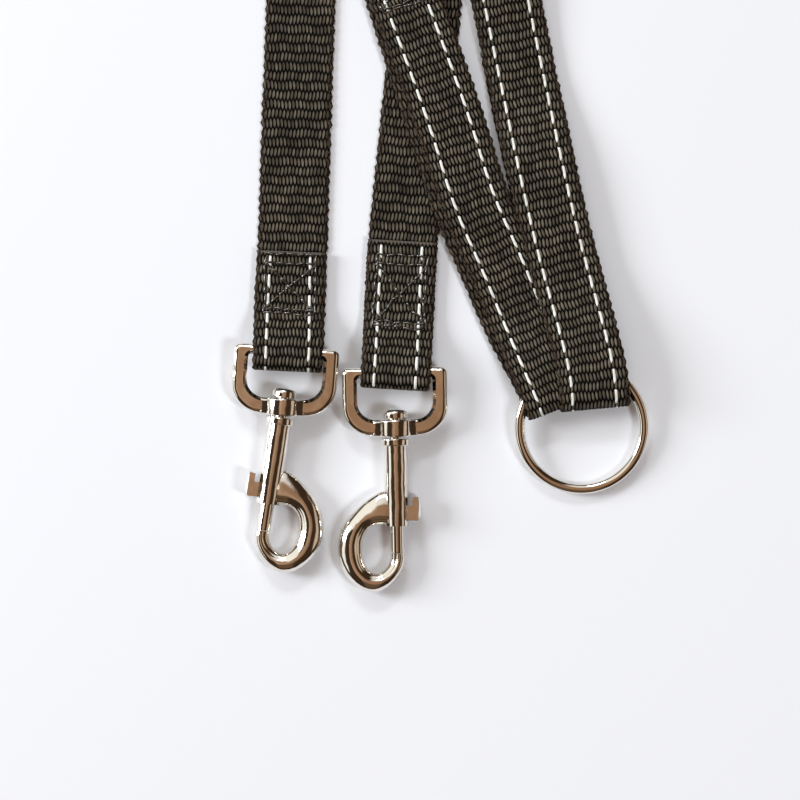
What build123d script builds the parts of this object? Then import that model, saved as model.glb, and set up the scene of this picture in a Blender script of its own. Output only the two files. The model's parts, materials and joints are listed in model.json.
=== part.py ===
from build123d import *
import os
from math import asin, cos, radians, sin

# Two-leg training leash, laid flat. Millimetres, +Z up, +Y towards the two top folds.
# The origin is at the middle of the whole object's footprint, on the surface it lies on.

# Webbing
WEB_WIDTH = 19.9
WEB_THICK = 1.4
PLY_GAP = 0.1
PLY_STEP = WEB_THICK + PLY_GAP      # height from one ply to the next in a stack

# Where each leg lies: plan points on the webbing's centreline
HOOK_LOOP = {"left": (-43.3, -58.0), "right": (-12.7, -63.2)}
HOOK_BEND = {"left": (-39.9, 29.6), "right": (-10.7, -23.8)}
TOP_FOLD = {"left": (-36.6, 118.2), "right": (3.7, 119.3)}
RING_BEND = {"left": (9.8, -11.8), "right": (23.3, 25.6)}
RING_FOLD = {"left": (34.4, -71.7), "right": (44.0, -71.9)}
FLAP_LENGTH = {"left": 31.2, "right": 39.5}

# Loops of webbing: inner radii, and the height of each loop's middle
BAR_LOOP_RADIUS = 1.8
TOP_FOLD_RADIUS = 3.0
TOP_FOLD_Z = WEB_THICK + TOP_FOLD_RADIUS
RING_LOOP_Z = 4.9
RING_LOOP_RADIUS = {"left": 2.0, "right": 3.5}

# Slopes between a loop and the flat run, as distances from the loop's middle
HOOK_SLOPE = (4.0, 14.0)
RING_SLOPE = {"left": (9.7, 26.0), "right": (13.5, 32.0)}
FOLD_SLOPE = (4.0, 38.0)
LOOP_MARGIN = 2.0                   # flat stretch that belongs to each loop, past its slope

# Runs up from the ring: (distance from the ring loop, plies that lie under this one).
# The right strap crosses over the left one near the ring.
UPPER_LEVELS = {
    "left": [(26.0, 2), (200.0, 2)],
    "right": [(32.0, 3), (66.0, 3), (86.0, 1), (104.0, 1), (117.0, 2), (200.0, 2)],
}
LOWER_LEVELS = {
    "left": [(0.0, 1), (138.0, 1)],
    "right": [(0.0, 0), (105.0, 0), (117.0, 1), (138.0, 1)],
}
RUN_JOIN = 95.0                     # where the two nodes of an upper run meet

# Sewn boxes: start along the strap from its loop, length, width and thread
HOOK_SEAM_START = {"left": 14.5, "right": 14.5}
HOOK_SEAM_LENGTH = {"left": 16.2, "right": 20.4}
RING_SEAM_START = 119.5
RING_SEAM_LENGTH = 17.0
SEAM_WIDTH = 14.6
THREAD_WIDTH = 0.8
THREAD_HEIGHT = 0.35

# O-ring
RING_RADIUS = 17.8
RING_WIRE = 1.5
RING_CENTRE = (40.5, -77.0)
RING_LIFT = 0.1
RING_LOW_SIDE = radians(-73.0)      # plan direction of the side that touches the floor
RING_RISE = 0.104                   # sine of the ring's slope up to the webbing

# Swivel eye
EYE_OUTER = 30.3
EYE_INNER = 21.6
BAR_THICK = 2.9
BAR_TO_PIVOT = 16.0
EYE_BOTTOM = -2.3
EYE_INNER_BOTTOM = 2.4
EYE_DEPTH = 3.3
EYE_ROUNDING = 1.6                  # of the outer rims
EYE_BEVEL = 0.95                    # of the inner rims
EYE_TOP_CORNERS = (2.0, 0.8)        # outer and inner corner radii beside the bar
EYE_BOTTOM_CORNERS = (8.8, 5.2)     # and beside the boss
BOSS_RADIUS = 4.9
BOSS_HALF_DEPTH = 4.3
BOSS_HALF_HEIGHT = 2.5
BOSS_ROUNDING = 0.6
FLARE = (7.4, 2.7, 2.3)             # swelling beside the boss: half width, depth and height
FLARE_ROUNDING = 0.8
STUD_CLEARANCE = 0.3                # the cast eye is loose on its stud

# Where each hook lies: plan angles of the eye and of the hook's own axis
EYE_YAW = {"left": -4.3, "right": 0.9}
HOOK_YAW = {"left": -8.9, "right": 0.9}
BAR_CENTRE = {"left": (-43.8, -55.3), "right": (-13.0, -61.3)}
SPINE_TURN = {"left": 180.0, "right": 0.0}
PIVOT_Z = BOSS_HALF_DEPTH + 0.1     # the boss clears the floor by this little

# Swivel bolt snap, measured down its axis from the pivot in the middle of the boss
END_PLAY = 0.45
COLLAR_TOP = BOSS_HALF_HEIGHT + END_PLAY
COLLAR_RADIUS = 4.2
COLLAR_END = 5.0
COLLAR_ROUNDING = 0.4
BARREL_RADIUS = 3.35
BARREL_END = 27.9
BORE_RADIUS = 2.15
BOLT_RADIUS = 2.05
BOLT_TOP = 19.0
TIP_TOP = 35.75
TIP_GAP = 0.08
BOLT_TRAVEL = 7.6
BOLT_CHAMFER = 0.25
STUD_RADIUS = 2.0
STUD_END = 6.5
HEAD_RADIUS = 3.55
HEAD_HEIGHT = 2.4
HEAD_ROUNDING = 1.4
STEM_TOP = 22.2
STEM_END = 26.4
STEM_HALF = 1.0
SLOT_HALF = 1.15
SLOT_PLAY = 0.8
SLOT_REACH = 10.0                   # the slot is cut out through the barrel's side this far
PAD_INNER = 4.55
PAD_BACK = [(5.4, -26.7), (PAD_INNER, -26.2), (PAD_INNER, -19.8), (6.2, -19.5)]
PAD_FRONT = [(6.2, -19.5), (6.5, -21.0), (7.1, -23.4), (6.7, -25.2), (5.4, -26.7)]
PAD_HALF_WIDTH = 2.7
STEM_REACH = 4.9                     # how far out it runs into the pad
PAD_DOME = (3.6, 3.75)              # the pad's section is inside a circle: its distance out and radius
PAD_MIDDLE = 23.1                   # the pad's ends are arcs about this distance down the axis
PAD_END_RADIUS = 4.3
SPRING_RADIUS = 1.65
SPRING_WIRE = 0.22
SPRING_TURNS = 7
SPRING_GAP = 0.05                   # between the coil's ends and the stud and bolt

# Cast hook from its tip to the barrel: inner edge, outer edge and half depth.
# Each pair is (distance out from the barrel's axis, distance down it).
HOOK_STATIONS = [
    ((1.95, 35.75), (-2.15, 35.75), 2.15),
    ((2.20, 38.00), (-1.90, 39.30), 2.20),
    ((3.45, 39.90), (0.60, 43.40), 2.45),
    ((6.00, 41.20), (6.60, 46.80), 2.85),
    ((8.60, 39.70), (13.20, 43.80), 3.00),
    ((9.85, 36.20), (16.90, 37.00), 3.00),
    ((9.75, 32.20), (16.60, 30.80), 3.00),
    ((8.55, 29.30), (14.20, 25.70), 2.95),
    ((6.40, 27.80), (10.20, 21.60), 2.85),
    ((3.00, 27.60), (4.80, 18.20), 2.60),
    ((0.80, 27.40), (1.20, 18.40), 2.30),
]
RIDGE_IN = 1.7                      # the inner bevel's width
RIDGE_HEIGHT = 0.84                 # the ridge's height as a share of the half depth

# The hook slopes down from its pivot so that its far end rests just above the floor
LOW_STATION = 44.0
LOW_HALF_DEPTH = 3.1
LOW_GAP = 0.05
HOOK_PITCH = asin((PIVOT_Z - LOW_GAP - LOW_HALF_DEPTH) / LOW_STATION)
BAR_Z = PIVOT_Z + BAR_TO_PIVOT * sin(HOOK_PITCH)

STACK_HEIGHT = 20.0                 # more than the tallest stack of plies
BIG = 200.0                         # longer than anything here


# ---------------------------------------------------------------- webbing

def unit(a, b):
    """Direction in plan from point a to point b."""
    return (Vector(*b) - Vector(*a)).normalized()


def left_of(direction):
    return Vector(-direction.Y, direction.X)


def crossing(p, d, q, e):
    """Point where the line through p along d meets the line through q along e."""
    gap = q - p
    return p + d * ((gap.X * e.Y - gap.Y * e.X) / (d.X * e.Y - d.Y * e.X))


def band(points, half, start_edge=None, end_edge=None):
    """Flat band about a broken line. An end edge is square unless its direction is given."""
    points = [Vector(*p) for p in points]
    ways = [(b - a).normalized() for a, b in zip(points, points[1:])]
    edges = [start_edge or left_of(ways[0]), end_edge or left_of(ways[-1])]
    sides = []
    for side in (half, -half):
        lines = [(p + left_of(w) * side, w) for p, w in zip(points, ways)]
        lines = [(points[0], edges[0])] + lines + [(points[-1], edges[1])]
        sides.append([crossing(*a, *b) for a, b in zip(lines, lines[1:])])
    return make_face(Polyline(*sides[0], *reversed(sides[1]), close=True))


def upright(origin, direction, z=0.0):
    """Vertical plane through a plan point, with its X along direction and its Y up."""
    return Plane((origin[0], origin[1], z), x_dir=direction, z_dir=(direction.Y, -direction.X, 0))


def run(points, heights, end_edge=None):
    """One ply: a plan band cut by its side profile of (distance from the start, middle height)."""
    plan = extrude(band(points, WEB_WIDTH / 2, end_edge=end_edge), STACK_HEIGHT)
    profile = band(heights, WEB_THICK / 2, Vector(0, 1), Vector(0, 1))
    side = upright(points[0], unit(points[0], points[1])) * profile
    return plan & extrude(side, BIG, both=True)


def bight(centre, out, z, inner, width):
    """Half tube of webbing that turns back at the end of a loop."""
    ring = Circle(inner + WEB_THICK) - Circle(inner)
    half = ring & Rectangle(BIG, BIG, align=(Align.MIN, Align.CENTER))
    return extrude(upright(centre, out, z) * half, width / 2, both=True)


def length_of(points):
    return sum((Vector(*b) - Vector(*a)).length for a, b in zip(points, points[1:]))


def hook_run_points(side):
    return [HOOK_LOOP[side], HOOK_BEND[side], TOP_FOLD[side]]


def ring_loop_centre(side):
    """Middle of the ring loop's bight, back from its outer end by the loop's outer radius."""
    back = unit(RING_FOLD[side], RING_BEND[side])
    return tuple(Vector(*RING_FOLD[side]) + back * (RING_LOOP_RADIUS[side] + WEB_THICK))[:2]


def ring_run_points(side):
    return [ring_loop_centre(side), RING_BEND[side], TOP_FOLD[side]]


def top_fold_edge(side):
    """Direction of the fold line, across the two runs that meet there."""
    up = unit(HOOK_BEND[side], TOP_FOLD[side])
    down = unit(TOP_FOLD[side], RING_BEND[side])
    return (up + down).normalized()


def level(plies):
    """Height of the middle of a ply with that many plies under it."""
    return plies * PLY_STEP + WEB_THICK / 2


def sloped(loop_height, slope, flat_height, end):
    """Side profile that leaves a loop level, slopes to the flat run and goes on to its end."""
    start, foot = slope
    return [(0, loop_height), (start, loop_height), (foot, flat_height), (end, flat_height)]


def hook_loop(side):
    """Webbing turned round the eye's bar, with the flap that is sewn down on the strap."""
    points = hook_run_points(side)
    reach = BAR_LOOP_RADIUS + WEB_THICK / 2
    flap = run(points, sloped(BAR_Z + reach, HOOK_SLOPE, level(1), FLAP_LENGTH[side]))
    end = HOOK_SLOPE[1] + LOOP_MARGIN
    under = run(points, sloped(BAR_Z - reach, HOOK_SLOPE, level(0), end))
    out = unit(points[1], points[0])
    return flap + under + bight(points[0], out, BAR_Z, BAR_LOOP_RADIUS, WEB_WIDTH)


def hook_strap(side):
    """Flat run from the hook loop to the top fold."""
    heights = [(HOOK_SLOPE[1] + LOOP_MARGIN, level(0)), (BIG, level(0))]
    return run(hook_run_points(side), heights, end_edge=top_fold_edge(side))


def fold_end(side):
    """Distance from the ring loop to where the top fold's slope has come down to the run."""
    return length_of(ring_run_points(side)) - FOLD_SLOPE[1] - LOOP_MARGIN


def top_fold(side):
    """Turn at the far end, with the slope that comes down from it onto the upper run."""
    edge = top_fold_edge(side)
    out = left_of(edge)
    along = unit(HOOK_BEND[side], TOP_FOLD[side])
    width = WEB_WIDTH / abs(along.dot(out))
    turn = bight(TOP_FOLD[side], out, TOP_FOLD_Z, TOP_FOLD_RADIUS, width)
    points = ring_run_points(side)
    far = length_of(points)
    flat = level(UPPER_LEVELS[side][-1][1])
    over_fold = TOP_FOLD_Z + TOP_FOLD_RADIUS + WEB_THICK / 2
    heights = [(fold_end(side), flat), (far - FOLD_SLOPE[1], flat)]
    heights += [(far - FOLD_SLOPE[0], over_fold), (far + BIG, over_fold)]
    return turn + run(points, heights, end_edge=edge)


def upper_run(side, start, end):
    """Part of the upper ply between two distances from the ring loop."""
    levels = UPPER_LEVELS[side]
    inside = [(s, level(plies)) for s, plies in levels if start < s < end]
    first = [plies for s, plies in levels if s <= start][-1]
    last = [plies for s, plies in levels if s >= end][0]
    return run(ring_run_points(side), [(start, level(first))] + inside + [(end, level(last))])


def ring_strap(side):
    """Upper ply on the ring's side. The right one lies over the left one."""
    return upper_run(side, RING_SLOPE[side][1] + LOOP_MARGIN, RUN_JOIN)


def fold_strap(side):
    """Upper ply from the ring strap to the top fold's slope."""
    return upper_run(side, RUN_JOIN, fold_end(side))


def ring_loop(side):
    """Webbing turned round the O-ring, with the lower ply that returns under the strap."""
    points = ring_run_points(side)
    radius = RING_LOOP_RADIUS[side]
    lower = run(points, [(s, level(plies)) for s, plies in LOWER_LEVELS[side]])
    over_ring = RING_LOOP_Z + radius + WEB_THICK / 2
    flat = level(UPPER_LEVELS[side][0][1])
    slope = RING_SLOPE[side]
    upper = run(points, sloped(over_ring, slope, flat, slope[1] + LOOP_MARGIN))
    out = unit(points[1], points[0])
    return lower + upper + bight(points[0], out, RING_LOOP_Z, radius, WEB_WIDTH)


def box_stitch(points, start, length, z):
    """Box with a cross inside, in thread, lying on the upper ply."""
    way = unit(points[0], points[1])
    place = Plane(tuple(Vector(*points[0]) + way * start)[:2] + (z,), x_dir=way, z_dir=(0, 0, 1))
    half = SEAM_WIDTH / 2
    inset = THREAD_WIDTH
    frame = Rectangle(length, SEAM_WIDTH, align=(Align.MIN, Align.CENTER))
    frame -= Pos(inset, 0) * Rectangle(length - 2 * inset, SEAM_WIDTH - 2 * inset,
                                       align=(Align.MIN, Align.CENTER))
    cross = band([(inset, -half + inset), (length - inset, half - inset)], inset / 2)
    cross += band([(inset, half - inset), (length - inset, -half + inset)], inset / 2)
    return extrude(place * (frame + cross), THREAD_HEIGHT)


def hook_stitching(side):
    z = level(1) + WEB_THICK / 2
    return box_stitch(hook_run_points(side), HOOK_SEAM_START[side], HOOK_SEAM_LENGTH[side], z)


def ring_stitching(side):
    """The seam that closes a ring loop, past the bend in its run."""
    points = ring_run_points(side)
    start = RING_SEAM_START - length_of(points[:2])
    return box_stitch(points[1:], start, RING_SEAM_LENGTH, level(2) + WEB_THICK / 2)


# ---------------------------------------------------------------- metalwork

def along_axis(start, end, radius):
    """Cylinder on the hook's axis between two distances down it."""
    middle = Pos(0, -(start + end) / 2, 0) * Rot(90, 0, 0)
    return middle * Cylinder(radius, end - start)


def swivel_eye():
    """D-shaped cast eye. Its bar carries the webbing and its boss turns on the stud."""
    top = BAR_TO_PIVOT + BAR_THICK / 2
    frame = Pos(0, (top + EYE_BOTTOM) / 2) * Rectangle(EYE_OUTER, top - EYE_BOTTOM)
    frame = round_corners(frame, EYE_TOP_CORNERS[0], EYE_BOTTOM_CORNERS[0])
    hole_top = top - BAR_THICK
    hole = Pos(0, (hole_top + EYE_INNER_BOTTOM) / 2)
    hole = hole * Rectangle(EYE_INNER, hole_top - EYE_INNER_BOTTOM)
    hole = round_corners(hole, EYE_TOP_CORNERS[1], EYE_BOTTOM_CORNERS[1])
    body = extrude(frame - hole, EYE_DEPTH / 2, both=True)
    outer = [edge for face in body.faces().filter_by(Axis.Z) for edge in face.outer_wire().edges()]
    body = fillet(outer, EYE_ROUNDING)
    inner = [edge for face in body.faces().filter_by(Axis.Z) for edge in face.inner_wires()[0].edges()]
    body = chamfer(inner, EYE_BEVEL)
    level_axis = Rot(90, 0, 0)
    boss = level_axis * extrude(Ellipse(BOSS_RADIUS, BOSS_HALF_DEPTH), BOSS_HALF_HEIGHT, both=True)
    boss = fillet(boss.edges(), BOSS_ROUNDING)
    half_width, half_depth, half_height = FLARE
    flare = level_axis * extrude(Ellipse(half_width, half_depth), half_height, both=True)
    flare = fillet(flare.edges(), FLARE_ROUNDING)
    eye = body + flare + boss
    return eye - along_axis(-BOSS_RADIUS, BOSS_RADIUS, STUD_RADIUS + STUD_CLEARANCE)


def round_corners(face, top_radius, bottom_radius):
    low = face.vertices().sort_by(Axis.Y)[:2]
    face = fillet(low, bottom_radius)
    high = face.vertices().sort_by(Axis.Y)[-2:]
    return fillet(high, top_radius)


def swivel_rivet():
    """Stud fixed in the barrel, with the domed head that holds the eye on."""
    head = along_axis(-COLLAR_TOP - HEAD_HEIGHT, -COLLAR_TOP, HEAD_RADIUS)
    head = fillet(head.edges().sort_by(Axis.Y)[-1], HEAD_ROUNDING)
    return head + along_axis(-COLLAR_TOP, STUD_END, STUD_RADIUS)


def hook_section(inner, outer, depth):
    """Section of the cast hook: round outside, with a ridge and a bevel inside."""
    inner = Vector(-inner[0], -inner[1])
    outer = Vector(-outer[0], -outer[1])
    half = (outer - inner).length / 2
    out = (outer - inner).normalized()
    plane = Plane((inner + outer) / 2, x_dir=out, z_dir=(out.Y, -out.X, 0))
    ridge = (RIDGE_IN - half, RIDGE_HEIGHT * depth)
    round_side = Spline((ridge[0], -ridge[1]), (0.15 * half, -depth), (half, 0),
                        (0.15 * half, depth), ridge)
    bevel = ThreePointArc(ridge, (-half, 0), (ridge[0], -ridge[1]))
    return plane * make_face(round_side + bevel)


def side_slot():
    """Slot along the barrel that the knob's stem slides in."""
    top = STEM_TOP - BOLT_TRAVEL - SLOT_PLAY
    end = STEM_END + SLOT_PLAY
    shape = SlotOverall(end - top, 2 * SLOT_HALF)
    return extrude(Plane((0, -(top + end) / 2, 0), x_dir=(0, 1, 0), z_dir=(1, 0, 0)) * shape, SLOT_REACH)


def hook_body():
    """Casting of collar, barrel and hook, bored for the stud, the spring and the bolt."""
    sections = [hook_section(*station) for station in HOOK_STATIONS]
    collar = along_axis(COLLAR_TOP, COLLAR_END, COLLAR_RADIUS)
    collar = fillet(collar.edges(), COLLAR_ROUNDING)
    barrel = along_axis((COLLAR_TOP + COLLAR_END) / 2, BARREL_END, BARREL_RADIUS)
    body = loft(sections) + barrel + collar
    body -= along_axis(0, STUD_END, STUD_RADIUS)
    body -= along_axis(STUD_END, TIP_TOP, BORE_RADIUS)
    return body - side_slot()


def gate_bolt():
    bolt = along_axis(BOLT_TOP, TIP_TOP - TIP_GAP, BOLT_RADIUS)
    return chamfer(bolt.edges().sort_by(Axis.Y)[0], BOLT_CHAMFER)


def thumb_knob():
    """Stem through the slot and the curved pad that a thumb pulls back."""
    stem = Box(STEM_REACH, STEM_END - STEM_TOP, 2 * STEM_HALF, align=(Align.MIN, Align.MAX, Align.CENTER))
    stem = Pos(0, -STEM_TOP, 0) * stem
    stem -= along_axis(0, TIP_TOP, BOLT_RADIUS)
    outline = Polyline(*PAD_BACK) + Spline(*PAD_FRONT)
    pad = extrude(make_face(outline), PAD_HALF_WIDTH, both=True)
    ends = Pos(0, -PAD_MIDDLE, 0) * Rot(0, 90, 0) * Cylinder(PAD_END_RADIUS, 2 * BIG)
    dome = Pos(PAD_DOME[0], 0, 0) * Rot(90, 0, 0) * Cylinder(PAD_DOME[1], 2 * BIG)
    return (pad & ends & dome) + stem


def bolt_spring():
    """Coil between the stud and the bolt, with the bolt shut."""
    start = STUD_END + SPRING_WIRE + SPRING_GAP
    height = BOLT_TOP - SPRING_WIRE - SPRING_GAP - start
    coil = Helix(height / SPRING_TURNS, height, SPRING_RADIUS)
    wire = Plane(coil @ 0, z_dir=coil % 0) * Circle(SPRING_WIRE)
    return Pos(0, -start, 0) * Rot(90, 0, 0) * sweep(wire, coil, is_frenet=True)


def frame_at(side, yaw):
    """Frame at a hook's pivot: X along the eye's bar, -Y down the hook."""
    turn = radians(yaw)
    eye = radians(EYE_YAW[side])
    flat = BAR_TO_PIVOT * cos(HOOK_PITCH)
    pivot = (BAR_CENTRE[side][0] + flat * sin(eye), BAR_CENTRE[side][1] - flat * cos(eye), PIVOT_Z)
    down = Vector(sin(turn) * cos(HOOK_PITCH), -cos(turn) * cos(HOOK_PITCH), -sin(HOOK_PITCH))
    across = Vector(cos(turn), sin(turn), 0)
    return Plane(pivot, x_dir=across, z_dir=across.cross(down * -1))


def o_ring():
    """Plain ring through both ring loops, one side on the floor."""
    low = Vector(cos(RING_LOW_SIDE), sin(RING_LOW_SIDE), 0)
    height = RING_WIRE + RING_LIFT + RING_RADIUS * RING_RISE
    slope = Vector(low.X, low.Y, 0) * RING_RISE
    flat = cos(asin(RING_RISE))
    plane = Plane((*RING_CENTRE, height), z_dir=(slope.X, slope.Y, flat))
    return plane * Torus(RING_RADIUS, RING_WIRE)


# ---------------------------------------------------------------- assembly

def webbing_parts(side):
    makers = [hook_loop, hook_strap, top_fold, fold_strap, ring_strap, ring_loop]
    makers += [hook_stitching, ring_stitching]
    return {f"{side}_{make.__name__}": make(side) for make in makers}


def snap_parts(side):
    eye_frame = frame_at(side, EYE_YAW[side])
    hook_frame = frame_at(side, HOOK_YAW[side])
    parts = {f"{side}_swivel_eye": eye_frame * swivel_eye()}
    for make in (swivel_rivet, hook_body, gate_bolt, thumb_knob, bolt_spring):
        parts[f"{side}_{make.__name__}"] = hook_frame * Rot(0, SPINE_TURN[side], 0) * make()
    return parts


def main():
    os.makedirs("parts", exist_ok=True)
    parts = {"o_ring": o_ring()}
    for side in ("left", "right"):
        parts.update(webbing_parts(side))
        parts.update(snap_parts(side))
    for name, shape in parts.items():
        export_step(shape, f"parts/{name}.step")
    box = Compound(children=[Compound(shape.solids()) for shape in parts.values()]).bounding_box()
    print("box", box.min, box.max, "centre", box.center())


main()
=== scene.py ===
import json
import math
import random

import bpy
import numpy as np
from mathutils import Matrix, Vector


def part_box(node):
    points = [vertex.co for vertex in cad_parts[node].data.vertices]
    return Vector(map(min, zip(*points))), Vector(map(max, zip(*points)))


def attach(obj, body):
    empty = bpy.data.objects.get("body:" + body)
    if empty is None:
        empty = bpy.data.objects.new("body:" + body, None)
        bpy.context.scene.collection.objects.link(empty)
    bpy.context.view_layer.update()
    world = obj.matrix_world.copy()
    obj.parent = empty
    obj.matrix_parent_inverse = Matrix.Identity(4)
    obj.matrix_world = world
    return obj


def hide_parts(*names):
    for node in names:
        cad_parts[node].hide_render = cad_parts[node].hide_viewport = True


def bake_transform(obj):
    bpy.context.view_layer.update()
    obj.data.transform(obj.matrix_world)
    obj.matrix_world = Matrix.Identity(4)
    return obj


# Two-leg training leash, laid flat on a pale floor. Metres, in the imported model's own frame.
# The metal is the CAD model with finer materials. The webbing, its sewing and the springs are built here.

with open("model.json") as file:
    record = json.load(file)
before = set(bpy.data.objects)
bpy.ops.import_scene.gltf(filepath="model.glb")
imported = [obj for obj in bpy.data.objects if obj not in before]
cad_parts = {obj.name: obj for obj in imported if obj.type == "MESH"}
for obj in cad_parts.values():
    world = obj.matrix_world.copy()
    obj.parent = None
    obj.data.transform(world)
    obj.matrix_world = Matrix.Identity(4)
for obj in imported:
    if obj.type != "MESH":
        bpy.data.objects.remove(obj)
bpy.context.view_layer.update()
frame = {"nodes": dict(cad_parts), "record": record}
SIDES = ("left", "right")

# ---------------------------------------------------------------- sizes

WEB_WIDTH = 0.0199
CORE = 0.00040              # half the webbing's thickness under its surface yarns
RELIEF = 0.00029            # how far a yarn stands out of the core at its crown
COLUMN = 0.001047           # from one warp yarn to the next, across
ROW = 0.00271               # from one row of the weave to the next, along
FLOAT_HALF = 0.66           # half a yarn's visible length, in rows
YARN_HALF = 0.48            # half a yarn's width, in columns
SLANT = 0.26                # how far a yarn leans in half a row, in columns, left and right by turns
RIPPLE = 0.07               # how far the rows wander, in rows, and how fast across and along
RIPPLE_ACROSS = 0.9
RIPPLE_ALONG = 0.7
FIELD_COLUMNS = 17          # columns between the two selvedges
STEPS_ACROSS = 4            # mesh steps to a column
STEPS_ALONG = 4             # mesh steps to a row
EDGE_STEPS = 3              # mesh steps round each selvedge, on each face
EDGE_BULGE = 0.00022        # how far the weft's turns push the selvedges out, once to each row
EDGE_WANDER = 0.00009       # and how uneven that is
KNOT_LOW = 0.15             # height of the selvedge between its knots, and of a knot over it, in reliefs
KNOT_RISE = 0.80
SELVEDGE_BLEND = 2.2        # how soon the field's weave gives way to the selvedge's knots
MELTED = 0.0011             # length of the heat-sealed raw end
BEAD_RISE = 0.9             # height of its bead, in reliefs
BEAD_START = 0.12           # the bead's blunt front, as a share of its length

DASH_LENGTH = 0.0041
DASH_WIDTH = 0.00082
DASH_PITCH = 2 * ROW
DASH_START = 0.6            # the first yarn's middle, in pitches
DASH_SUNK = 0.00010         # height of a yarn's edges over the core, and of its crown over them
DASH_CROWN = 0.00024
DASH_TAPER = 0.35           # share of its width that a yarn has lost where it dips into the weave
DASH_ROUND = 0.95           # share of a half circle that its section spans
DASH_STEPS = (9, 5)         # mesh points along and across
# Where the two reflective lines run, in columns from the middle: how far along, left line, right line.
DASH_LINES = {
    "left": ((0.0, -5.6, 5.25), (0.028, -5.95, 5.75), (0.20, -5.55, 5.20), (0.45, -5.7, 5.5)),
    "right": ((0.0, -5.75, 5.35), (0.035, -5.8, 5.5), (0.20, -6.1, 5.7), (0.45, -6.1, 5.8)),
}

THREAD = 0.00078
STITCH = 0.0027             # a stitch's usual length
STITCH_STRAY = 0.00027      # how far a needle hole strays
STITCH_GAP = 0.06           # share of a stitch that is down in its hole at each end
STITCH_SLACK = 0.00025      # the most that a loose stitch stands up
STITCH_RISE = 0.3           # how far a tight one stands up in the middle, in threads
STITCH_SUNK = 0.45          # how deep its middle line lies at its ends, in threads
STITCH_SEAT = 0.8           # below this height on the yarns, in reliefs
STITCH_POINTS = 9
THREAD_SIDES = 7
SEAM_WIDTH = 0.0146
# Where each hook flap's box seam starts along the leg, and its length.
SEAMS = {"left": (0.0009, 0.0172), "right": (0.0042, 0.0206)}
RING_SEAM = 0.0170          # length of the seam over the ring's return ply
SEAM_SEEDS = {"hook": 11, "ring": 12}
ASKEW = (0.31, 0.17, 0.93)  # a direction that no thread and no wire runs along

SPRING_RUN = (0.00677, 0.01873)   # where the coil lies, down the hook from its pivot
SPRING_RADIUS = 0.00165
SPRING_WIRE = 0.00020
SPRING_TURNS = 6
TURN_STEPS = 24
WIRE_SIDES = 8

LEG_LENGTH = {"left": 0.437, "right": 0.447}
RETURN_LENGTH = {"left": 0.138, "right": 0.139}

# ---------------------------------------------------------------- routes

# The middle of each leg's one length of webbing, from the raw end of its hook flap, round the
# bar of the swivel eye, up to the top fold, down to the O-ring, round it and back underneath.
ROUTES = {
    "left": [
        (-0.0425, -0.0268, 0.0022), (-0.0429, -0.0360, 0.0022), (-0.0432, -0.0440, 0.0022),
        (-0.0433, -0.0515, 0.0070), (-0.0434, -0.0555, 0.0074), (-0.0436, -0.0605, 0.0074),
        (-0.0436, -0.0605, 0.0023), (-0.0433, -0.0555, 0.0023), (-0.0427, -0.0440, 0.0007),
        (-0.0421, -0.0230, 0.0007), (-0.0410, 0.0125, 0.0007), (-0.0392, 0.0620, 0.0007),
        (-0.0379, 0.1143, 0.0007), (-0.0377, 0.1218, 0.0007), (-0.0366, 0.1219, 0.0081),
        (-0.0342, 0.1148, 0.0081), (-0.0235, 0.0825, 0.0037), (-0.0100, 0.0457, 0.0037),
        (0.0029, 0.0107, 0.0037), (0.0094, -0.0118, 0.0037), (0.0179, -0.0304, 0.0037),
        (0.0235, -0.0444, 0.0037), (0.0299, -0.0596, 0.0076), (0.0327, -0.0660, 0.0076),
        (0.0346, -0.0711, 0.0076), (0.0346, -0.0711, 0.0022), (0.0325, -0.0660, 0.0022),
        (0.0220, -0.0466, 0.0022), (0.0155, -0.0313, 0.0022), (0.0074, -0.0127, 0.0022),
        (0.0004, 0.0098, 0.0022), (-0.0090, 0.0385, 0.0022), (-0.0160, 0.0604, 0.0022),
    ],
    "right": [
        (-0.0106, -0.0238, 0.0022), (-0.0113, -0.0360, 0.0022), (-0.0119, -0.0490, 0.0022),
        (-0.0123, -0.0567, 0.0070), (-0.0126, -0.0607, 0.0074), (-0.0129, -0.0657, 0.0074),
        (-0.0129, -0.0657, 0.0023), (-0.0126, -0.0607, 0.0023), (-0.0120, -0.0492, 0.0007),
        (-0.0108, -0.0238, 0.0007), (-0.0068, 0.0125, 0.0007), (-0.0018, 0.0640, 0.0007),
        (0.0025, 0.1155, 0.0007), (0.0031, 0.1230, 0.0007), (0.0040, 0.1230, 0.0081),
        (0.0053, 0.1157, 0.0081), (0.0114, 0.0821, 0.0037), (0.0185, 0.0473, 0.0037),
        (0.0211, 0.0346, 0.0022), (0.0248, 0.0170, 0.0022), (0.0286, -0.0018, 0.0052),
        (0.0336, -0.0238, 0.0052), (0.0368, -0.0356, 0.0052), (0.0417, -0.0538, 0.0091),
        (0.0436, -0.0630, 0.0091), (0.0442, -0.0713, 0.0091), (0.0442, -0.0713, 0.0007),
        (0.0432, -0.0630, 0.0007), (0.0367, -0.0356, 0.0007), (0.0336, -0.0239, 0.0007),
        (0.0285, -0.0019, 0.0007), (0.0246, 0.0150, 0.0007), (0.0209, 0.0356, 0.0007),
        (0.0184, 0.0473, 0.0022), (0.0141, 0.0679, 0.0022),
    ],
}


SPLINE_STEPS = 48           # points read from the smooth line for each of its runs
STEEP = 0.6                 # where the webbing's way is less level than this, it is in a fold


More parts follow.
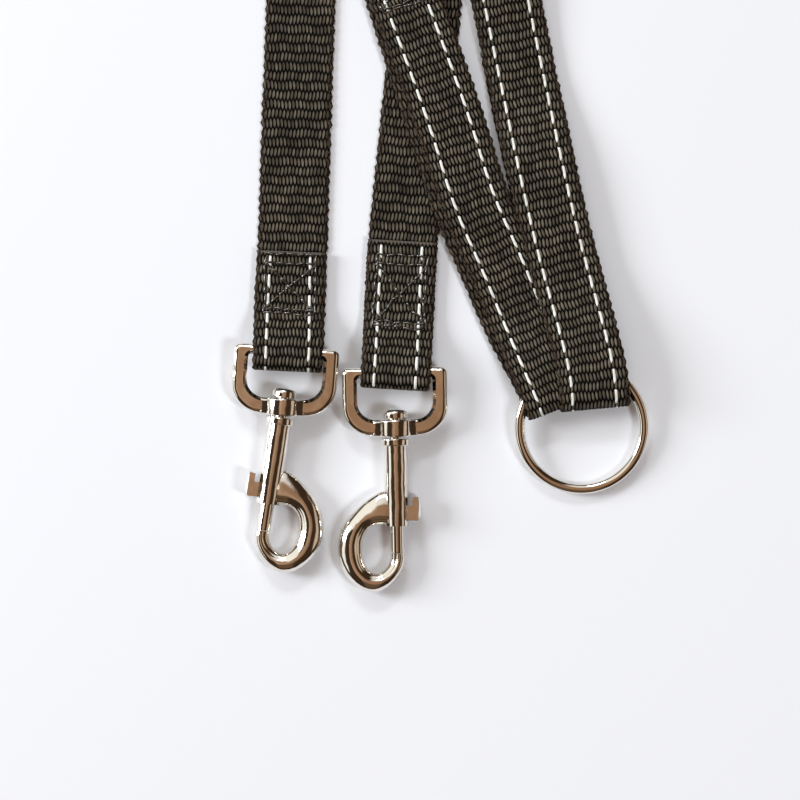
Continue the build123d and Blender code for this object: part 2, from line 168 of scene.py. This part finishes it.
def spline_points(name, route):
    """Points read from the smooth line whose control points are the route."""
    curve = bpy.data.curves.new(name, "CURVE")
    curve.dimensions = "3D"
    spline = curve.splines.new("NURBS")
    spline.points.add(len(route) - 1)
    for point, place in zip(spline.points, route):
        point.co = (*place, 1.0)
    spline.order_u = 3
    spline.use_endpoint_u = True
    spline.resolution_u = SPLINE_STEPS
    holder = bpy.data.objects.new(name, curve)
    line = bpy.data.meshes.new_from_object(holder)
    points = np.array([v.co for v in line.vertices], float)
    bpy.data.objects.remove(holder)
    bpy.data.curves.remove(curve)
    bpy.data.meshes.remove(line)
    return points


class Strap:
    """Evenly spaced stations along a line, each with the webbing's own three directions."""

    def __init__(self, points, step):
        steps = np.linalg.norm(np.diff(points, axis=0), axis=1)
        points = points[np.concatenate([[True], steps > 1e-9])]
        steps = np.linalg.norm(np.diff(points, axis=0), axis=1)
        along = np.concatenate([[0], np.cumsum(steps)])
        self.length = along[-1]
        self.s = np.linspace(0, self.length, round(self.length / step) + 1)
        self.place = self.read(along, points, self.s)
        self.way = unit_rows(np.gradient(self.place, axis=0))
        self.across = self.widths()
        self.up = np.cross(self.way, self.across)

    @staticmethod
    def read(along, rows, at):
        return np.stack([np.interp(at, along, rows[:, k]) for k in range(rows.shape[1])], axis=1)

    def widths(self):
        """The direction across the webbing: level on its runs, and turned smoothly round a fold."""
        flat = np.hypot(self.way[:, 0], self.way[:, 1])
        side = np.stack([-self.way[:, 1], self.way[:, 0], 0 * flat], axis=1) / flat[:, None]
        steep = flat < STEEP
        edges = np.flatnonzero(np.diff(steep.astype(int)))
        for first, last in zip(edges[0::2], edges[1::2]):
            side[last + 1:] *= -1
            share = np.linspace(0, 1, last - first + 2)[:, None]
            side[first:last + 2] = side[first] * (1 - share) + side[last + 1] * share
        side -= self.way * np.sum(side * self.way, axis=1)[:, None]
        return unit_rows(side)

    def at(self, s, x, height):
        """The points x across and height above the webbing's middle, s along it."""
        rows = (self.place, self.across, self.up)
        place, across, up = (self.read(self.s, row, s) for row in rows)
        return place + across * np.asarray(x)[:, None] + up * np.asarray(height)[:, None]


def unit_rows(rows):
    return rows / np.linalg.norm(rows, axis=1)[:, None]


# ---------------------------------------------------------------- webbing

def yarn(column, row):
    """How far the surface yarns stand out, from 0 to 1, at a place in columns and rows."""
    best = np.zeros_like(column)
    row = row + RIPPLE * np.sin(RIPPLE_ACROSS * column + RIPPLE_ALONG * row)
    for shift, lean in ((0.0, SLANT), (0.5, -SLANT)):
        middle = 2 * (row / 2 - np.round(row / 2 - shift) - shift)
        leaning = column + lean * middle
        off = leaning - np.round(leaning - shift) - shift
        rise = 1 - (off / YARN_HALF) ** 2 - (middle / FLOAT_HALF) ** 2
        best = np.maximum(best, np.sqrt(np.clip(rise, 0, 1)))
    return best


def stations_across():
    """Places across the webbing from edge to edge, closer together at the selvedges."""
    field = FIELD_COLUMNS * COLUMN / 2
    inner = np.linspace(-field, field, FIELD_COLUMNS * STEPS_ACROSS + 1)
    turn = np.linspace(0, math.pi / 2, EDGE_STEPS + 1)[1:]
    edge = field + (WEB_WIDTH / 2 - field) * np.sin(turn)
    return np.concatenate([-edge[::-1], inner, edge]), field


def section_heights(x, field, s, face):
    """Height of one face above the webbing's middle, for every station along and across."""
    column, row = np.meshgrid(x / COLUMN, s / ROW)
    out = np.clip((np.abs(x) - field) / (WEB_WIDTH / 2 - field), 0, 1)
    rounding = np.sqrt(np.clip(1 - out ** 2, 0, 1))[None, :]
    woven = RELIEF * yarn(column, row + face)
    # At the selvedges the weft turns back in small knots, one to each row.
    knots = 0.5 + 0.5 * np.cos(2 * math.pi * (row + 0.5 * face + 0.25 * np.sign(column)))
    selvedge = RELIEF * (KNOT_LOW + KNOT_RISE * knots)
    share = np.clip(SELVEDGE_BLEND * out, 0, 1)[None, :]
    height = CORE + woven * (1 - share) + selvedge * share
    # The raw end of the flap is melted into a smooth bead.
    melted = np.clip(1 - s / MELTED, 0, 1)[:, None] ** 0.5
    swell = np.sin(math.pi * np.clip(s / MELTED, BEAD_START, 1) ** 0.5)[:, None]
    bead = CORE + BEAD_RISE * RELIEF * swell
    return (height * (1 - melted) + bead * melted) * rounding


def webbing(name, strap, first, last, seed):
    """The woven strap between two stations, as one closed skin."""
    rng = np.random.default_rng(seed)
    x, field = stations_across()
    s = strap.s[first:last + 1]
    front = section_heights(x, field, s, 0)
    back = section_heights(x, field, s, 1)
    marks = np.arange(0, strap.length + ROW, ROW / 2)
    wander = np.interp(s, marks, rng.normal(0, 1, len(marks)))
    bulge = EDGE_BULGE * np.cos(2 * math.pi * s / ROW) + EDGE_WANDER * wander
    edge_share = np.clip((np.abs(x) - field) / (WEB_WIDTH / 2 - field), 0, 1) * np.sign(x)
    spread = x[None, :] + bulge[:, None] * edge_share[None, :]
    stations = slice(first, last + 1)
    place, across, up = strap.place[stations], strap.across[stations], strap.up[stations]
    level = place[:, None, :] + across[:, None, :] * spread[:, :, None]
    top = level + up[:, None, :] * front[:, :, None]
    under = level - up[:, None, :] * back[:, :, None]
    ring = np.concatenate([top, under[:, -2:0:-1]], axis=1)
    count, around = ring.shape[:2]
    grid = np.arange(count * around).reshape(count, around)
    beside = np.roll(grid, -1, axis=1)
    faces = np.stack([grid[1:], beside[1:], beside[:-1], grid[:-1]], axis=2).reshape(-1, 4)
    # A row of four-sided faces closes each end, three-sided at the edges.
    width = len(x)
    caps = []
    for station, flip in ((0, False), (count - 1, True)):
        for j in range(width - 1):
            a, b = grid[station, j], grid[station, j + 1]
            c = grid[station, (2 * width - 2 - j - 1) % around]
            d = grid[station, (2 * width - 2 - j) % around]
            corners = [a, b, c, d] if not flip else [d, c, b, a]
            corners = [k for i, k in enumerate(corners) if k not in corners[:i]]
            caps.append(corners)
    mesh = bpy.data.meshes.new(name)
    mesh.from_pydata(ring.reshape(-1, 3).tolist(), [], faces.tolist() + caps)
    map_weave(mesh, np.concatenate([x, x[-2:0:-1]]) / COLUMN, s / ROW)
    return smooth(mesh)


def map_weave(mesh, columns, rows):
    """Give the surface the weave's own columns and rows as its map."""
    uv = mesh.uv_layers.new(name="weave")
    loops = np.zeros(len(mesh.loops), int)
    mesh.loops.foreach_get("vertex_index", loops)
    values = np.stack([columns[loops % len(columns)], rows[loops // len(columns)]], axis=1)
    uv.data.foreach_set("uv", values.astype(np.float32).ravel())


def smooth(mesh):
    mesh.polygons.foreach_set("use_smooth", [True] * len(mesh.polygons))
    mesh.update()
    return mesh


def dashes(strap, first, last, lines):
    """The reflective yarns: on the front face, one float to each repeat of the weave."""
    points, faces = [], []
    t, w = np.meshgrid(*(np.linspace(-1, 1, steps) for steps in DASH_STEPS), indexing="ij")
    marks, *columns = zip(*lines)
    for column in columns:
        middle = strap.s[first] + DASH_START * DASH_PITCH
        while middle < strap.s[last] - DASH_LENGTH / 2:
            width = DASH_WIDTH / 2 * (1 - DASH_TAPER * np.abs(t) ** 5)
            crown = np.sqrt(np.clip(1 - (DASH_ROUND * w) ** 2, 0, 1)) * (1 - np.abs(t) ** 6)
            height = CORE + DASH_SUNK + DASH_CROWN * crown
            s = middle + t * DASH_LENGTH / 2
            x = np.interp(s, marks, column) * COLUMN + w * width
            start = len(points)
            points.extend(strap.at(s.ravel(), x.ravel(), height.ravel()).tolist())
            faces.extend(grid_faces(start, *DASH_STEPS))
            middle += DASH_PITCH
    return points, faces


def grid_faces(start, rows, columns):
    return [(start + i * columns + j, start + (i + 1) * columns + j,
             start + (i + 1) * columns + j + 1, start + i * columns + j + 1)
            for i in range(rows - 1) for j in range(columns - 1)]


def placed(name, mesh, material):
    piece = bpy.data.objects.new(name, mesh)
    bpy.context.scene.collection.objects.link(piece)
    mesh.materials.append(material)
    return piece


def mesh_from(name, points, faces):
    mesh = bpy.data.meshes.new(name)
    mesh.from_pydata(points, [], faces)
    return smooth(mesh)


# ---------------------------------------------------------------- sewing

def tube(points, radius, sides):
    """A round thread or wire through the points, closed flat at both ends."""
    points = np.asarray(points, float)
    way = unit_rows(np.gradient(points, axis=0))
    side = unit_rows(np.cross(way, ASKEW))
    other = np.cross(way, side)
    turn = np.linspace(0, 2 * math.pi, sides, endpoint=False)
    ring = [p + radius * (a * math.cos(t) + b * math.sin(t))
            for p, a, b in zip(points, side, other) for t in turn]
    faces = []
    for i in range(len(points) - 1):
        for j in range(sides):
            k = (j + 1) % sides
            low, high = i * sides, (i + 1) * sides
            faces.append((low + j, low + k, high + k, high + j))
    faces.append(tuple(range(sides))[::-1])
    faces.append(tuple(range((len(points) - 1) * sides, len(points) * sides)))
    return ring, faces


def stitch(strap, a, b, lift):
    """One stitch between two places on the front face, each (along, across)."""
    share = np.linspace(0, 1, STITCH_POINTS)
    s = a[0] + (b[0] - a[0]) * share
    x = a[1] + (b[1] - a[1]) * share
    rise = (lift + THREAD * STITCH_RISE) * np.sin(math.pi * share).clip(0) ** 0.5
    height = CORE + RELIEF * STITCH_SEAT - THREAD * STITCH_SUNK + rise
    return tube(strap.at(s, x, height), THREAD / 2, THREAD_SIDES)


def seam_lines(start, length):
    """A box seam's lines, from and to (along, across): the two ends twice, the cross and the sides.

    The doubled rows and the cross are a little out of line with the box, as sewn ones are.
    """
    half = SEAM_WIDTH / 2
    end = start + length
    second, last = start + 0.0024, end - 0.0010
    return [
        ((start, -half), (start, half)),
        ((start + 0.0023, half), (start + 0.0026, -half)),
        ((end, half), (end - 0.0003, -half)),
        ((end - 0.0012, -half), (last, half)),
        ((second, -half), (last, half)),
        ((second, half), (last, -half)),
        ((start, -half), (end, -half)),
        ((start, half), (end, half)),
    ]


def box_seam(name, strap, start, length, seed):
    """All the stitches of one box-and-cross seam, as one mesh."""
    rng = random.Random(seed)
    points, faces = [], []
    for a, b in seam_lines(start, length):
        distance = math.hypot(b[0] - a[0], b[1] - a[1])
        count = max(3, round(distance / STITCH))
        holes = []
        for i in range(count + 1):
            share = i / count
            holes.append([a[k] + (b[k] - a[k]) * share + rng.gauss(0, STITCH_STRAY) for k in (0, 1)])
        for p, q in zip(holes, holes[1:]):
            rising = [p[k] + (q[k] - p[k]) * STITCH_GAP for k in (0, 1)]
            sinking = [q[k] - (q[k] - p[k]) * STITCH_GAP for k in (0, 1)]
            ring, sides = stitch(strap, rising, sinking, rng.uniform(0, STITCH_SLACK))
            first = len(points)
            points.extend(tuple(v) for v in ring)
            faces.extend(tuple(first + k for k in f) for f in sides)
    return mesh_from(name, points, faces)


# ---------------------------------------------------------------- materials

class Nodes:
    """A short way to write the node tree of a world or a material."""

    def __init__(self, owner):
        owner.use_nodes = True
        self.tree = owner.node_tree

    def feed(self, socket, source):
        if isinstance(source, bpy.types.NodeSocket):
            self.tree.links.new(source, socket)
        else:
            socket.default_value = source

    def math(self, operation, a, b=0.0):
        node = self.tree.nodes.new("ShaderNodeMath")
        node.operation = operation
        for socket, value in zip(node.inputs, (a, b)):
            self.feed(socket, value)
        return node.outputs[0]

    def add(self, a, b):
        return self.math("ADD", a, b)

    def times(self, a, b):
        return self.math("MULTIPLY", a, b)

    def minus(self, a, b):
        return self.math("SUBTRACT", a, b)

    def between(self, value, low, high, to_low=0.0, to_high=1.0):
        node = self.tree.nodes.new("ShaderNodeMapRange")
        node.interpolation_type = "SMOOTHSTEP"
        for socket, source in zip(node.inputs, (value, low, high, to_low, to_high)):
            self.feed(socket, source)
        return node.outputs[0]

    def join(self, x, y, z=0.0):
        node = self.tree.nodes.new("ShaderNodeCombineXYZ")
        for socket, source in zip(node.inputs, (x, y, z)):
            self.feed(socket, source)
        return node.outputs[0]

    def noise(self, vector, scale, detail):
        node = self.tree.nodes.new("ShaderNodeTexNoise")
        self.feed(node.inputs["Vector"], vector)
        node.inputs["Scale"].default_value = scale
        node.inputs["Detail"].default_value = detail
        return node.outputs["Fac"]

    def mix(self, share, a, b):
        node = self.tree.nodes.new("ShaderNodeMix")
        node.data_type = "RGBA"
        self.feed(node.inputs["Factor"], share)
        self.feed(node.inputs["A"], a)
        self.feed(node.inputs["B"], b)
        return node.outputs["Result"]

    def split(self, vector):
        node = self.tree.nodes.new("ShaderNodeSeparateXYZ")
        self.feed(node.inputs[0], vector)
        return node.outputs

    def coordinates(self, kind):
        return self.tree.nodes.new("ShaderNodeTexCoord").outputs[kind]


class Material(Nodes):
    """The same for a material, with its one shader."""

    def __init__(self, name):
        self.material = bpy.data.materials.new(name)
        super().__init__(self.material)
        self.shader = self.tree.nodes["Principled BSDF"]

    def set(self, **values):
        """Give the shader plain values or the outputs of nodes."""
        for name, value in values.items():
            self.feed(self.shader.inputs[name.replace("_", " ")], value)

    def bump(self, height, distance, strength):
        node = self.tree.nodes.new("ShaderNodeBump")
        node.inputs["Distance"].default_value = distance
        node.inputs["Strength"].default_value = strength
        self.feed(node.inputs["Height"], height)
        self.set(Normal=node.outputs["Normal"])

    def weave_map(self):
        node = self.tree.nodes.new("ShaderNodeUVMap")
        node.uv_map = "weave"
        column, row, _ = self.split(node.outputs[0])
        return column, row

    def place(self):
        return self.coordinates("Object")


def webbing_material():
    """Black webbing: glossy filament yarns in a brick pattern, with a painted sheen on their crowns and
    painted shade between them.
    """
    n = Material("webbing")
    column, row = n.weave_map()
    # Where the raw end lies, for its browner melted tone and its painted highlight.
    end = n.between(row, 0.30, 0.12)
    wave = n.math("SINE", n.add(n.times(RIPPLE_ACROSS, column), n.times(RIPPLE_ALONG, row)))
    row = n.add(row, n.times(RIPPLE, wave))
    best, cell = 0.0, (0, 0, 0, 1)
    for shift, lean in ((0.0, SLANT), (0.5, -SLANT)):
        near = n.math("ROUND", n.minus(n.times(row, 0.5), shift))
        middle = n.times(2.0, n.minus(n.times(row, 0.5), n.add(near, shift)))
        leaning = n.add(column, n.times(lean, middle))
        beside = n.math("ROUND", n.minus(leaning, shift))
        off = n.times(n.minus(leaning, n.add(beside, shift)), 1 / YARN_HALF)
        run = n.times(middle, 1 / FLOAT_HALF)
        rise = n.minus(n.minus(1.0, n.times(off, off)), n.times(run, run))
        rise = n.math("SQRT", n.math("MAXIMUM", rise, 0.0))
        name = n.join(n.add(beside, shift), n.add(near, shift), shift)
        cell = n.mix(n.math("GREATER_THAN", rise, best), cell, name)
        best = n.math("MAXIMUM", best, rise)
    white = n.tree.nodes.new("ShaderNodeTexWhiteNoise")
    white.noise_dimensions = "3D"
    n.feed(white.inputs["Vector"], cell)
    chance = white.outputs["Value"]
    filaments = n.noise(n.join(n.times(column, 9.0), n.times(row, 1.1)), 1.0, 2.0)
    patches = n.noise(n.join(n.times(column, 0.12), n.times(row, 0.22)), 1.0, 2.0)
    # Painted sheen and painted shade: the yarns' crowns are painted paler brown-grey as a painted sheen,
    # and the gaps between them are painted near black as painted shade. Each yarn, patch and filament is
    # also a little paler or darker than the next.
    lift = n.times(n.between(best, 0.58, 1.0), n.add(0.40, n.times(0.60, chance)))
    lift = n.times(lift, n.add(0.30, n.times(0.80, patches)))
    lift = n.times(lift, n.add(0.45, n.times(1.1, filaments)))
    colour = n.mix(lift, (0.0008, 0.0006, 0.0004, 1), (0.255, 0.222, 0.170, 1))
    # The raw end is melted and a little browner, and painted paler as a painted highlight where the
    # heat-sealed edge catches the light. Fibres are fluffed and browned along the selvedges.
    colour = n.mix(end, colour, (0.110, 0.095, 0.080, 1))
    # Painted shade: the outermost columns are painted darker, as the shadow where one ply's edge lies on
    # another.
    edge = n.between(n.math("ABSOLUTE", column), 7.9, 8.7)
    colour = n.mix(n.times(edge, 0.55), colour, (0.0030, 0.0022, 0.0015, 1))
    fluff = n.noise(n.join(n.times(column, 3.0), n.times(row, 4.0)), 1.0, 2.0)
    brown = n.times(n.times(edge, n.between(fluff, 0.52, 0.66)), 0.7)
    colour = n.mix(brown, colour, (0.130, 0.080, 0.050, 1))
    shine = n.times(n.between(best, 0.3, 0.8), n.add(0.25, n.times(0.20, chance)))
    n.set(Base_Color=colour, Roughness=n.minus(0.80, shine), Specular_IOR_Level=0.06)
    n.bump(n.add(best, n.times(0.12, filaments)), 0.00018, 0.9)
    return n.material


def reflective_material():
    """White retro-reflective yarn: a flat foil thread with a fine grain and grey scuffs."""
    n = Material("reflective_yarn")
    grain = n.noise(n.place(), 2600.0, 3.0)
    scuff = n.noise(n.place(), 420.0, 2.0)
    dirt = n.between(scuff, 0.52, 0.75, 0.0, 0.45)
    n.set(Base_Color=n.mix(dirt, (0.86, 0.87, 0.84, 1), (0.52, 0.52, 0.48, 1)),
          Roughness=n.add(0.38, n.times(0.25, grain)))
    n.bump(grain, 0.00004, 0.5)
    return n.material


def thread_material():
    """Bonded black sewing thread with a shiny coat and a fine twist."""
    n = Material("sewing_thread")
    twist = n.noise(n.place(), 3200.0, 2.0)
    n.set(Base_Color=n.mix(twist, (0.003, 0.0025, 0.002, 1), (0.050, 0.040, 0.030, 1)),
          Roughness=n.add(0.10, n.times(0.14, twist)),
          Specular_IOR_Level=1.0, Coat_Weight=0.7, Coat_Roughness=0.10)
    n.bump(twist, 0.00006, 0.5)
    return n.material


CAST_WAVES = 0.00075        # depth of the nickel's soft waves on castings and on drawn parts
DRAWN_WAVES = 0.00010


def nickel_material(name, depth):
    """Bright nickel plate, over a casting's soft waves or a drawn wire's smooth skin."""
    n = Material(name)
    waves = n.noise(n.place(), 210.0, 1.0)
    grain = n.noise(n.place(), 1900.0, 4.0)
    haze = n.noise(n.place(), 90.0, 3.0)
    tint = n.mix(n.between(haze, 0.35, 0.70), (0.88, 0.84, 0.78, 1), (0.78, 0.72, 0.65, 1))
    n.set(Base_Color=tint, Roughness=n.add(0.05, n.times(0.10, n.times(haze, grain))), Metallic=1.0)
    n.bump(n.add(waves, n.times(0.03, grain)), depth, 0.35)
    return n.material


def spring_material():
    """Bright drawn spring wire with a fine grain."""
    n = Material("spring_wire")
    grain = n.noise(n.place(), 5200.0, 3.0)
    n.set(Base_Color=n.mix(grain, (0.50, 0.48, 0.45, 1), (0.68, 0.66, 0.62, 1)),
          Roughness=n.add(0.22, n.times(0.15, grain)), Metallic=1.0)
    n.bump(grain, 0.00003, 0.4)
    return n.material


def floor_material():
    """Matt white paper or board."""
    n = Material("floor")
    n.set(Base_Color=(0.865, 0.895, 0.955, 1), Roughness=0.6)
    n.bump(n.noise(n.place(), 900.0, 2.0), 0.00002, 0.2)
    return n.material


# ---------------------------------------------------------------- stage, light and camera

VIEW_CENTRE = (-0.01143, -0.06926)
VIEW_SPAN = 0.2286
VIEW_LEVEL = 0.003          # the height at which the camera sees just that span
CAMERA_HEIGHT = 1.3
FAR = 20                    # nothing past this is drawn
FLOOR_HALF = 8.0


def camera():
    data = bpy.data.cameras.new("camera")
    data.lens = data.sensor_width * (CAMERA_HEIGHT - VIEW_LEVEL) / VIEW_SPAN
    data.clip_end = FAR
    eye = bpy.data.objects.new("camera", data)
    eye.location = (*VIEW_CENTRE, CAMERA_HEIGHT)
    bpy.context.scene.collection.objects.link(eye)
    bpy.context.scene.camera = eye


def floor():
    mesh = bpy.data.meshes.new("floor")
    corners = [(x * FLOOR_HALF, y * FLOOR_HALF, 0) for x, y in ((-1, -1), (1, -1), (1, 1), (-1, 1))]
    mesh.from_pydata(corners, [], [(0, 1, 2, 3)])
    ground = bpy.data.objects.new("floor", mesh)
    mesh.materials.append(floor_material())
    bpy.context.scene.collection.objects.link(ground)


def lamp(name, place, size, power, colour, mirrored=True):
    """A soft lamp aimed at the middle of the view. The metal doesn't mirror one that isn't mirrored."""
    data = bpy.data.lights.new(name, "AREA")
    data.shape = "RECTANGLE"
    data.size, data.size_y = size
    data.energy = power
    data.color = colour
    light = bpy.data.objects.new(name, data)
    light.location = place
    aim = Vector((*VIEW_CENTRE, 0)) - Vector(place)
    light.rotation_euler = aim.to_track_quat("-Z", "Y").to_euler()
    light.visible_camera = False
    light.visible_glossy = mirrored
    bpy.context.scene.collection.objects.link(light)


def surroundings():
    """A room with a copper-brown ceiling, dark walls, and pale windows left, right and behind."""
    world = bpy.data.worlds.new("studio")
    bpy.context.scene.world = world
    n = Nodes(world)
    x, y, z = n.split(n.coordinates("Generated"))
    back_left = n.math("MINIMUM", y, n.times(-1.0, x))
    # Each row is a direction, where its colour starts and is full, and the colour.
    colour = (0.34, 0.200, 0.118, 1)
    for way, start, full, tone in (
        (x, 0.05, -0.25, (0.50, 0.335, 0.225, 1)),
        (y, -0.30, -0.60, (0.13, 0.080, 0.045, 1)),
        (y, 0.42, 0.58, (0.86, 0.83, 0.78, 1)),
        (x, 0.18, 0.40, (0.045, 0.026, 0.014, 1)),
        (x, 0.74, 0.84, (0.60, 0.47, 0.36, 1)),
        (x, -0.24, -0.36, (0.045, 0.028, 0.016, 1)),
        (x, -0.74, -0.82, (1.06, 1.05, 0.97, 1)),
        (back_left, 0.14, 0.24, (1.02, 1.00, 0.92, 1)),
        (z, 0.34, 0.20, (0.030, 0.020, 0.013, 1)),
    ):
        colour = n.mix(n.between(way, start, full), colour, tone)
    n.feed(n.tree.nodes["Background"].inputs["Color"], colour)


def lights():
    lamp("key", (-1.45, 0.26, 0.68), (0.55, 0.70), 23.0, (0.955, 0.975, 1.0))
    lamp("fill", (0.80, -0.45, 1.30), (0.30, 0.40), 8.4, (0.94, 0.97, 1.0), mirrored=False)
    lamp("back", (-0.20, 1.20, 1.00), (0.50, 0.20), 6.0, (0.95, 0.975, 1.0))


# ---------------------------------------------------------------- the leash

LEG_NODES = ("hook_loop", "hook_strap", "top_fold", "fold_strap", "ring_strap")
FALLING = -0.85             # the webbing's way goes down more steeply than this in the ring fold,
RING_END = 0.3              # which is past this far along a leg
PAST_FOLD = 5               # stations from the fold's last steep one to where the return ply starts
FOLDED_BACK = 0.21          # the ply that comes down from the top fold is past this far along a leg
UPPER_PLY = 0.003           # and higher than this


def split_station(strap):
    """The station just under the ring fold, where the leg ends and its return ply starts."""
    falling = strap.way[:, 2] < FALLING
    return np.flatnonzero(falling & (strap.s > RING_END))[-1] + PAST_FOLD


def leg(side, woven, white):
    """One leg's webbing, as the leg and its return ply, with the reflective yarns of both."""
    strap = Strap(spline_points(side + "_route", ROUTES[side]), ROW / STEPS_ALONG)
    split = split_station(strap)
    end = len(strap.s) - 1
    runs = (
        (f"{side}_leg", 0, split, LEG_NODES, LEG_LENGTH, "object"),
        (f"{side}_ring_return", split, end, ("ring_loop",), RETURN_LENGTH, "bare"),
    )
    for name, first, last, nodes, lengths, far_end in runs:
        mesh = webbing(name, strap, first, last, seed=len(name))
        piece = placed(name, mesh, woven)
        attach(piece, "root")
        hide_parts(*(f"{side}_{node}" for node in nodes))
        points, faces = dashes(strap, first, last, DASH_LINES[side])
        mesh = mesh_from(name + "_dashes", points, faces)
        yarns = placed(name + "_reflective_yarn", mesh, white)
        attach(yarns, "root")
    return strap


def sewing(side, strap, thread):
    """The box seams of one leg: on its hook flap, and where the CAD has the ring seam."""
    low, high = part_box(f"{side}_ring_stitching")
    gaps = np.linalg.norm(strap.place - np.array((low + high) / 2), axis=1)
    elsewhere = (strap.s < FOLDED_BACK) | (strap.place[:, 2] < UPPER_PLY)
    centre = strap.s[np.argmin(np.where(elsewhere, np.inf, gaps))]
    for end, start, length in (("hook", *SEAMS[side]), ("ring", centre - RING_SEAM / 2, RING_SEAM)):
        mesh = box_seam(end + "_seam", strap, start, length, SEAM_SEEDS[end])
        piece = placed(f"{side}_{end}_box_stitch", mesh, thread)
        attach(piece, "root")
        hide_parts(f"{side}_{end}_stitching")


def spring(side, wire):
    """The coil that shuts the bolt, squeezed between the stud and the bolt."""
    pivot, axis = (np.array(swivel_of(side)[key], float) for key in ("pos_m", "axis"))
    first, last = SPRING_RUN
    turn = np.linspace(0, 2 * math.pi * SPRING_TURNS, TURN_STEPS * SPRING_TURNS + 1)
    along = np.linspace(first, last, len(turn))
    beside = np.cross(axis, (0, 0, 1))
    beside /= np.linalg.norm(beside)
    over = np.cross(axis, beside)
    points = (pivot + along[:, None] * axis
              + SPRING_RADIUS * (np.cos(turn)[:, None] * beside + np.sin(turn)[:, None] * over))
    mesh = mesh_from("coil", *tube(points, SPRING_WIRE, WIRE_SIDES))
    piece = placed(f"{side}_coil_spring", mesh, wire)
    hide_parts(f"{side}_bolt_spring")
    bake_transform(piece)


def swivel_of(side):
    """The record's row for the joint at the top of a hook: its place, and the way down the hook."""
    return next(j for j in frame["record"]["behaviour"]["joints"] if j["name"] == side + "_swivel")


def metalwork():
    """Nickel for the CAD model's own metal parts, and the two springs."""
    cast = nickel_material("cast_nickel", CAST_WAVES)
    drawn = nickel_material("drawn_nickel", DRAWN_WAVES)
    finishes = {"hook_body": cast, "swivel_eye": cast, "thumb_knob": cast,
                "gate_bolt": drawn, "swivel_rivet": drawn, "o_ring": drawn}
    for name, node in frame["nodes"].items():
        for part, finish in finishes.items():
            if name.endswith(part):
                node.data.materials.clear()
                node.data.materials.append(finish)
    wire = spring_material()
    for side in SIDES:
        spring(side, wire)


def build():
    camera()
    floor()
    surroundings()
    lights()
    woven, white, thread = webbing_material(), reflective_material(), thread_material()
    for side in SIDES:
        strap = leg(side, woven, white)
        sewing(side, strap, thread)
    metalwork()
    bpy.context.scene.view_settings.view_transform = "Standard"


build()
